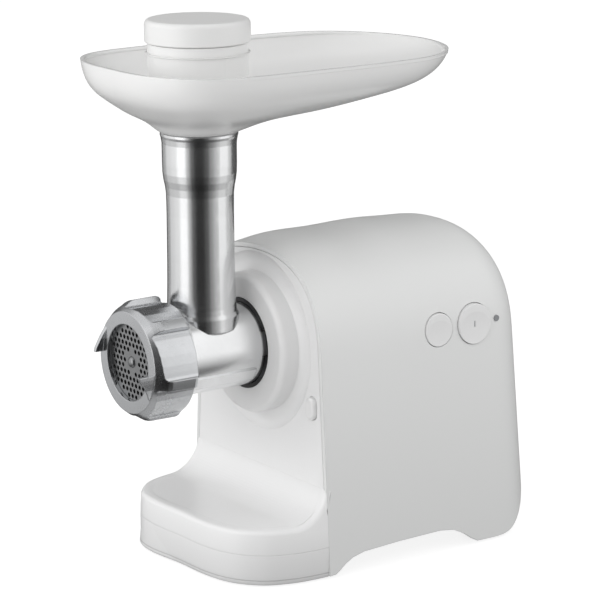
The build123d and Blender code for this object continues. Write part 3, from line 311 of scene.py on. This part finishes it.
WHITE = (0.80, 0.80, 0.795)
mats = {
    # low=(height, factor) paints shade into the shell and cover: base colour darker towards the floor
    "shell": plastic("shell_white", (0.79, 0.795, 0.79), 0.30, peel=0.022, low=(0.17, 0.87)),
    "cover": plastic("cover_white", (0.82, 0.82, 0.82), 0.31, peel=0.022,
                     seams=((0.0215, 0.00035, 0.12), (0.0046, 0.0005, 0.45)), low=(0.034, 0.80)),
    "base": plastic("base_white", (0.66, 0.66, 0.66), 0.5, peel=0.05, grain=0.1),
    "tray": plastic("tray_white", (0.84, 0.84, 0.835), 0.24, peel=0.018, edge=0.0009, coat=0.1),
    "pusher": plastic("pusher_white", (0.82, 0.82, 0.815), 0.30, peel=0.02),
    "cap": plastic("cap_white", (0.80, 0.80, 0.795), 0.34, peel=0.02, edge=0.0008),
    "button": plastic("button_white", (0.80, 0.80, 0.80), 0.36, peel=0.02, edge=0.0005),
    "socket": simple("socket_black", (0.018, 0.018, 0.019), 0.42, scale=500.0, var=0.3, bump=0.05),
    "rubber": simple("foot_rubber", (0.03, 0.03, 0.03), 0.75, scale=900.0, var=0.35, bump=0.25),
    "dark": simple("dark_plastic", (0.045, 0.045, 0.048), 0.45, scale=700.0),
    "grey": simple("gearbox_plastic", (0.20, 0.20, 0.21), 0.5, scale=500.0),
    "bronze": simple("bushing_bronze", (0.60, 0.38, 0.17), 0.38, 1.0, scale=900.0, var=0.3),
    "nylon": simple("gear_nylon", (0.74, 0.71, 0.62), 0.42, scale=260.0, var=0.06, bump=0.04),
    "lens": simple("lens_grey", (0.26, 0.27, 0.28), 0.18, scale=200.0, var=0.1, bump=0.0),
    "copper": wound("winding_copper", (0.74, 0.32, 0.12)),
    "commutator": laminated("commutator_copper", (0.78, 0.42, 0.22)),
    "lamination": laminated("lamination_steel", (0.42, 0.43, 0.45)),
    "pcb": board("board_green"),
    "head": cast_alu("head_aluminium", (0.80, 0.805, 0.81), 0.21, mottle=0.05),
    "nut": cast_alu("nut_aluminium", (0.66, 0.67, 0.685), 0.25, edge=0.0009),
    "auger": cast_alu("auger_aluminium", (0.34, 0.345, 0.35), 0.30, mottle=0.2),
    "plate": steel("plate_steel", (0.36, 0.365, 0.37), 0.34),
    "blade": steel("blade_steel", (0.62, 0.63, 0.65), 0.25),
    "steel": steel("screw_steel", (0.58, 0.59, 0.60), 0.30, turned=2),
    "shaft": steel("shaft_steel", (0.60, 0.61, 0.62), 0.25, turned=1),
    "spindle": steel("spindle_steel", (0.30, 0.305, 0.31), 0.22, turned=1),
    "mark": simple("mark_grey", (0.30, 0.31, 0.32), 0.5, scale=900.0, var=0.05, bump=0.0),
}
use = {
    "main_shell": "shell", "front_cover": "cover", "bottom_cover": "base", "rubber_feet": "rubber",
    "base_screws": "steel", "head_socket": "socket", "gearbox_housing": "grey", "gearbox_cover": "grey",
    "shaft_bushings": "bronze", "gearbox_screws": "shaft", "motor_end_frames": "shaft", "stator_core": "lamination",
    "field_windings": "copper", "brush_holders": "dark", "switch_carrier": "grey", "power_switch": "dark",
    "reverse_switch": "dark", "indicator_lens": "lens", "control_board": "pcb", "board_components": "dark",
    "cord_inlet": "dark", "rotor_shaft": "shaft", "rotor_core": "lamination", "rotor_windings": "copper",
    "commutator": "commutator", "cooling_fan": "dark", "motor_pinion": "shaft", "middle_shaft": "shaft",
    "middle_gear": "nylon", "middle_pinion": "shaft", "output_spindle": "spindle", "output_gear": "nylon",
    "auger": "auger", "cutter_blade": "blade", "grinder_head": "head", "cutting_plate": "plate", "plate_key": "shaft",
    "ring_nut": "nut", "food_tray": "tray", "pusher_body": "pusher", "pusher_cap": "cap", "power_button": "button",
    "reverse_button": "button", "lock_button": "button",
}
for name, obj in nodes.items():
    me = obj.data
    me.materials.clear()
    me.materials.append(mats[use[name]])


# ------------------------------------------------------------------ helpers for added pieces
def new_object(name, bm, mat, body, smooth=True):
    me = bpy.data.meshes.new(name)
    bm.normal_update()
    bm.to_mesh(me)
    bm.free()
    for p in me.polygons:
        p.use_smooth = smooth
    ob = bpy.data.objects.new(name, me)
    scene.collection.objects.link(ob)
    me.materials.append(mat)
    if body:
        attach(ob, body)
    return ob


def tube_loop(bm, centres, normals, radius, seg=8, closed=True):
    """A bead along a loop of centres; normals point outward in plan."""
    rings = []
    n = len(centres)
    for i, c in enumerate(centres):
        nrm = normals[i]
        up = Vector((0, 0, 1))
        ring = []
        for k in range(seg):
            a = 2 * math.pi * k / seg
            ring.append(bm.verts.new(c + nrm * (radius * math.cos(a)) + up * (radius * math.sin(a))))
        rings.append(ring)
    for i in range(n if closed else n - 1):
        a, b = rings[i], rings[(i + 1) % n]
        for k in range(seg):
            bm.faces.new((a[k], a[(k + 1) % seg], b[(k + 1) % seg], b[k]))


# rounded bead along the tray's rim, laid on the rim's own outline
pts = sorted({(round(v.co.x, 5), round(v.co.y, 5)) for v in nodes["food_tray"].data.vertices if v.co.z > 0.3322})


def hull(points):
    out = []
    for seq in (points, points[::-1]):
        part = []
        for q in seq:
            while len(part) > 1 and ((part[-1][0] - part[-2][0]) * (q[1] - part[-2][1])
                                     - (part[-1][1] - part[-2][1]) * (q[0] - part[-2][0])) <= 0:
                part.pop()
            part.append(q)
        out += part[:-1]
    return out


outline = [Vector((x, y, 0)) for x, y in hull(pts)]
lengths = [0.0]
for i in range(len(outline)):
    lengths.append(lengths[-1] + (outline[(i + 1) % len(outline)] - outline[i]).length)
N = 280
outer = []
k = 0
for i in range(N):
    d = lengths[-1] * i / N
    while lengths[k + 1] < d:
        k += 1
    t = (d - lengths[k]) / max(1e-9, lengths[k + 1] - lengths[k])
    outer.append(outline[k].lerp(outline[(k + 1) % len(outline)], t))
for _ in range(4):
    outer = [(outer[i - 1] + outer[i] * 2 + outer[(i + 1) % N]) / 4 for i in range(N)]
BEAD = 0.00150
centres, normals = [], []
for i in range(N):
    t = (outer[(i + 1) % N] - outer[i - 1]).normalized()
    nrm = Vector((t.y, -t.x, 0))
    normals.append(nrm)
    c = outer[i] - nrm * 0.00160
    centres.append(Vector((c.x, c.y, 0.33145)))
bm = bmesh.new()
tube_loop(bm, centres, normals, BEAD, 12)
new_object("tray_rim_bead", bm, mats["tray"], "tray")

# outer skin of the deck: flush with the housing's sides, rounding under at the bottom
DECK_Z, FACE_U, SWEEP_R = 37.5, 44.0, 24.0
knots = [(79.3, 47.0), (78.6, 32.0), (76.0, 17.5), (68.6, 0.6), (52.5, -13.1), (30.0, -19.3), (0.0, -20.6)]
left_knots = [(-30.0, -21.9), (-52.0, -17.9), (-68.6, -4.4), (-76.0, 12.4), (-78.6, 30.0), (-79.3, 47.0)]
knots = knots + left_knots


def catmull(ps, per):
    out = []
    n = len(ps)
    for q in range(n - 1):
        p0 = ps[q - 1] if q else (2 * ps[0][0] - ps[1][0], 2 * ps[0][1] - ps[1][1])
        p1, p2 = ps[q], ps[q + 1]
        p3 = ps[q + 2] if q + 2 < n else (2 * ps[-1][0] - ps[-2][0], 2 * ps[-1][1] - ps[-2][1])
        for w in range(per):
            t = w / per
            out.append(tuple(0.5 * (2 * b + (c - a) * t + (2 * a - 5 * b + 4 * c - d) * t * t
                                    + (3 * b - a - 3 * c + d) * t ** 3) for a, b, c, d in zip(p0, p1, p2, p3)))
    out.append(ps[-1])
    return out


plan = [q for q in catmull(knots, 16) if q[1] < 43.6]
plan = [(79.2, 44.05)] + plan + [(-79.2, 44.05)]
side_rows = [(1.21, 5.0), (1.21, 1.75), (1.6, 1.0), (2.4, 0.35), (4.0, 0.0), (8.0, 0.05), (13.0, 0.05), (20.0, 0.1), (28.0, 0.45)]
bm = bmesh.new()
cols = []
for x, uu in plan:
    d = math.hypot(x, uu - 40.0)
    # inward direction in plan
    if uu < 38:
        nx, nu = -x / d, -(uu - 40.0) / d
    else:
        nx, nu = (-1.0 if x > 0 else 1.0), 0.0
    if uu > 20.0:
        a = math.asin(min(1.0, (uu - 20.0) / SWEEP_R))
        a = min(a, math.radians(84.5))
        top = DECK_Z + SWEEP_R * (1 - math.cos(a))
        slope = a
    else:
        top, slope = DECK_Z, 0.0
    RB = 3.2
    rows = [(z, ins) for z, ins in side_rows]
    for zz in (0.35, 0.7):
        z = 28.0 + (top - RB - 28.0) * zz
        rows.append((z, 0.45 + 0.063 * (z - 28.0)))
    zt = top - RB
    it = 0.45 + 0.063 * (zt - 28.0)
    col = [(x + nx * ins, uu + nu * ins, z) for z, ins in rows]
    # rounding from the side over to the top, square to the slope of the sweep
    for w in range(0, 7):
        b = math.pi / 2 * w / 6
        up_z = RB * math.sin(b) - RB
        ins = it + RB * (1 - math.cos(b))
        # 'down' from the top surface is along its normal
        col.append((x + nx * ins, uu + nu * ins - up_z * -math.sin(slope) * -1.0, top + up_z * math.cos(slope)))
    lift = 0.05
    for ins in (it + RB + 2.5, it + RB + 5.0, it + RB + 6.6):
        col.append((x + nx * ins, uu + nu * ins - lift * math.sin(slope), top + lift * math.cos(slope)))
        lift = 0.04 if ins < it + RB + 4 else -0.5
    cols.append([bm.verts.new((px / 1000, pu / 1000 + TUBE_Y, max(pz, 1.2) / 1000)) for px, pu, pz in col])
for c0, c1 in zip(cols[:-1], cols[1:]):
    for q in range(len(c0) - 1):
        bm.faces.new((c0[q], c1[q], c1[q + 1], c0[q + 1]))
bmesh.ops.recalc_face_normals(bm, faces=bm.faces[:])
new_object("deck_skin", bm, mats["cover"], "housing")

# moulded collar round the tray's neck, just proud of the bowl's throat
bm = bmesh.new()
prof = [(0.0266, 0.2893), (0.0272, 0.2896), (0.0283, 0.2912), (0.0300, 0.2928), (0.0321, 0.2941), (0.0322, 0.2947),
        (0.0314, 0.2950), (0.0290, 0.2938), (0.0270, 0.2915)]
SEG = 96
rings = []
for k in range(SEG):
    a = 2 * math.pi * k / SEG
    rings.append([bm.verts.new((rr * math.cos(a), TUBE_Y + rr * math.sin(a), z)) for rr, z in prof])
for k in range(SEG):
    p0, p1 = rings[k], rings[(k + 1) % SEG]
    for q in range(len(prof)):
        q1 = (q + 1) % len(prof)
        bm.faces.new((p0[q], p1[q], p1[q1], p0[q1]))
bmesh.ops.recalc_face_normals(bm, faces=bm.faces[:])
new_object("tray_neck_collar", bm, mats["tray"], "tray")

# thin parting bead under the pusher's cap
bm = bmesh.new()
box_lo, box_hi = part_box("pusher_cap")
cap_r = (box_hi[0] - box_lo[0]) / 2
cz = box_lo[2]
circ = []
nrm = []
for k in range(120):
    a = 2 * math.pi * k / 120
    n2 = Vector((math.cos(a), math.sin(a), 0))
    nrm.append(n2)
    circ.append(Vector((0, TUBE_Y, cz + 0.0012)) + n2 * (cap_r - 0.0007))
tube_loop(bm, circ, nrm, 0.00055, 8)
new_object("cap_bead", bm, mats["cap"], "cap")

# generic on mark, a plain upright bar, on the large button
bm = bmesh.new()
x0 = 0.0
bmesh.ops.create_cube(bm, size=1.0)
for v in bm.verts:
    v.co = Vector((v.co.x * 0.0004, v.co.y * 0.0005, v.co.z * 0.0042))
bmesh.ops.bevel(bm, geom=bm.edges[:], offset=0.00012, segments=2, affect="EDGES")
w = 0.001 * (74.0 + 0.063 * (104.2 - 150.7))
bmesh.ops.translate(bm, verts=bm.verts, vec=Vector((w + 0.0009, 0.1689 + TUBE_Y, 0.1507)))
new_object("power_mark", bm, mats["mark"], "power_key")

# ------------------------------------------------------------------ studio
CAM_AZ = math.radians(54.987)
cam_dir = Vector((math.sin(CAM_AZ), -math.cos(CAM_AZ), 0))
cam_right = Vector((math.cos(CAM_AZ), math.sin(CAM_AZ), 0))


def only(ob, camera=False, glossy=False):
    ob.visible_camera = camera
    ob.visible_diffuse = False
    ob.visible_glossy = glossy
    ob.visible_transmission = False
    ob.visible_volume_scatter = False
    ob.visible_shadow = False


def stage_mesh(name, verts, faces, mat, **kw):
    me = bpy.data.meshes.new(name)
    me.from_pydata([tuple(v) for v in verts], [], faces)
    ob = bpy.data.objects.new(name, me)
    scene.collection.objects.link(ob)
    me.materials.append(mat)
    if kw:
        only(ob, **kw)
    return ob


def emitter(name, strength, low=None):
    """A glowing card; low is its strength at the bottom, at z = -0.4, rising to strength at z = 0.25."""
    mm = bpy.data.materials.new(name)
    mm.use_nodes = True
    nt = mm.node_tree
    nt.nodes.clear()
    o = nt.nodes.new("ShaderNodeOutputMaterial")
    e = nt.nodes.new("ShaderNodeEmission")
    e.inputs[0].default_value = (1, 1, 1, 1)
    e.inputs[1].default_value = strength
    if low is not None:
        tc = nt.nodes.new("ShaderNodeTexCoord")
        sp = nt.nodes.new("ShaderNodeSeparateXYZ")
        mr = nt.nodes.new("ShaderNodeMapRange")
        mr.inputs["From Min"].default_value = -0.45
        mr.inputs["From Max"].default_value = 0.12
        mr.inputs["To Min"].default_value = low
        mr.inputs["To Max"].default_value = strength
        nt.links.new(tc.outputs["Object"], sp.inputs[0])
        nt.links.new(sp.outputs[2], mr.inputs["Value"])
        nt.links.new(mr.outputs[0], e.inputs[1])
    nt.links.new(e.outputs[0], o.inputs[0])
    return mm


# the floor: a pale sheet whose own glow keeps it even
m = M("floor_white")
m.set(base=(0.34, 0.34, 0.34), rough=0.9, spec=0.0)
m.b.inputs["Emission Color"].default_value = (1, 1, 1, 1)
m.b.inputs["Emission Strength"].default_value = 0.78
floor = stage_mesh("studio_floor", [(-9, -9, 0), (9, -9, 0), (9, 9, 0), (-9, 9, 0)], [(0, 1, 2, 3)], m.done())
floor.visible_diffuse = False
floor.visible_glossy = False

# white surround for low views
bm = bmesh.new()
bmesh.ops.create_uvsphere(bm, u_segments=48, v_segments=24, radius=8.9)
me = bpy.data.meshes.new("studio_surround")
bm.to_mesh(me)
bm.free()
dome = bpy.data.objects.new("studio_surround", me)
scene.collection.objects.link(dome)
dome.data.materials.append(emitter("surround_white", 1.0))
only(dome, camera=True)

# ring of tall cards round the object, for the gloss of polished surfaces:
# angles in degrees from the camera's azimuth, plus to the right
cards = [(-180, -146, 0.10), (-146, -122, 0.45), (-122, -96, 0.88), (-96, -70, 1.02), (-70, -40, 1.50), (-40, -28, 0.60),
         (-28, -14, 0.12), (-14, 16, 0.03), (16, 32, 0.10), (32, 46, 0.38), (46, 60, 0.62), (60, 100, 1.15),
         (100, 116, 0.70), (116, 136, 0.10), (136, 180, 0.08)]
for i, (a0, a1, st) in enumerate(cards):
    n = max(2, int((a1 - a0) / 6))
    vs, fs = [], []
    for k in range(n + 1):
        az = CAM_AZ + math.radians(a0 + (a1 - a0) * k / n)
        p = Vector((0.9 * math.sin(az), TUBE_Y - 0.9 * math.cos(az), 0))
        vs += [p + Vector((0, 0, -1.0)), p + Vector((0, 0, 1.3))]
        if k:
            fs.append((2 * k - 2, 2 * k, 2 * k + 1, 2 * k - 1))
    stage_mesh("card_%02d" % i, vs, fs, emitter("card_%02d" % i, st, st * 0.16), glossy=True)

# sky: soft and even, dimmer from below
world = bpy.data.worlds.new("studio")
scene.world = world
world.use_nodes = True
wt = world.node_tree
bg = wt.nodes["Background"]
bg.inputs[0].default_value = (1.0, 1.0, 1.0, 1)
tc = wt.nodes.new("ShaderNodeTexCoord")
sp = wt.nodes.new("ShaderNodeSeparateXYZ")
mr = wt.nodes.new("ShaderNodeMapRange")
mr.inputs["From Min"].default_value = -0.5
mr.inputs["From Max"].default_value = 0.5
mr.inputs["To Min"].default_value = 0.50
mr.inputs["To Max"].default_value = 0.78
wt.links.new(tc.outputs["Generated"], sp.inputs[0])
wt.links.new(sp.outputs[2], mr.inputs["Value"])
wt.links.new(mr.outputs[0], bg.inputs[1])


def area(name, loc, target, size, power, size_y=None):
    ld = bpy.data.lights.new(name, "AREA")
    ld.shape = "RECTANGLE"
    ld.size = size
    ld.size_y = size_y or size
    ld.energy = power
    lo = bpy.data.objects.new(name, ld)
    scene.collection.objects.link(lo)
    lo.location = loc
    lo.rotation_euler = (Vector(target) - Vector(loc)).to_track_quat("-Z", "Y").to_euler()
    lo.visible_glossy = False
    return lo


def around(deg, dist, height):
    az = CAM_AZ + math.radians(deg)
    return Vector((dist * math.sin(az), -dist * math.cos(az), height))


ctr = Vector((0, 0, 0.17))
area("soft_left", around(-76, 1.35, 0.45), ctr, 1.1, 5.2, 1.0)
area("soft_front", around(-36, 1.4, 0.55), ctr, 0.8, 4.4, 0.8)
area("soft_right", around(84, 1.35, 0.62), ctr, 0.9, 3.6, 1.0)
area("soft_top", Vector((0, 0, 1.6)) - cam_right * 0.3, ctr, 1.3, 0.8)

# ------------------------------------------------------------------ camera
a, e, roll = CAM_AZ, math.radians(13.546), math.radians(-0.36)
back = Vector((math.sin(a) * math.cos(e), -math.cos(a) * math.cos(e), math.sin(e)))
right = Vector((math.cos(a), math.sin(a), 0))
up = back.cross(right)
r = right * math.cos(roll) + up * math.sin(roll)
u = -right * math.sin(roll) + up * math.cos(roll)
eye = Vector((0, 0, 0.15625)) + back * 1.74524 - r * 0.021694 + u * 0.005825
eye.y += TUBE_Y + 0.104167
cam_data = bpy.data.cameras.new("camera")
cam = bpy.data.objects.new("camera", cam_data)
scene.collection.objects.link(cam)
cam.matrix_world = Matrix(((r.x, u.x, back.x, eye.x), (r.y, u.y, back.y, eye.y), (r.z, u.z, back.z, eye.z), (0, 0, 0, 1)))
cam_data.sensor_width = 36.0
cam_data.lens = 36.0 * 2600.0 / 600.0
cam_data.clip_end = 50.0
scene.camera = cam

bpy.context.view_layer.update()
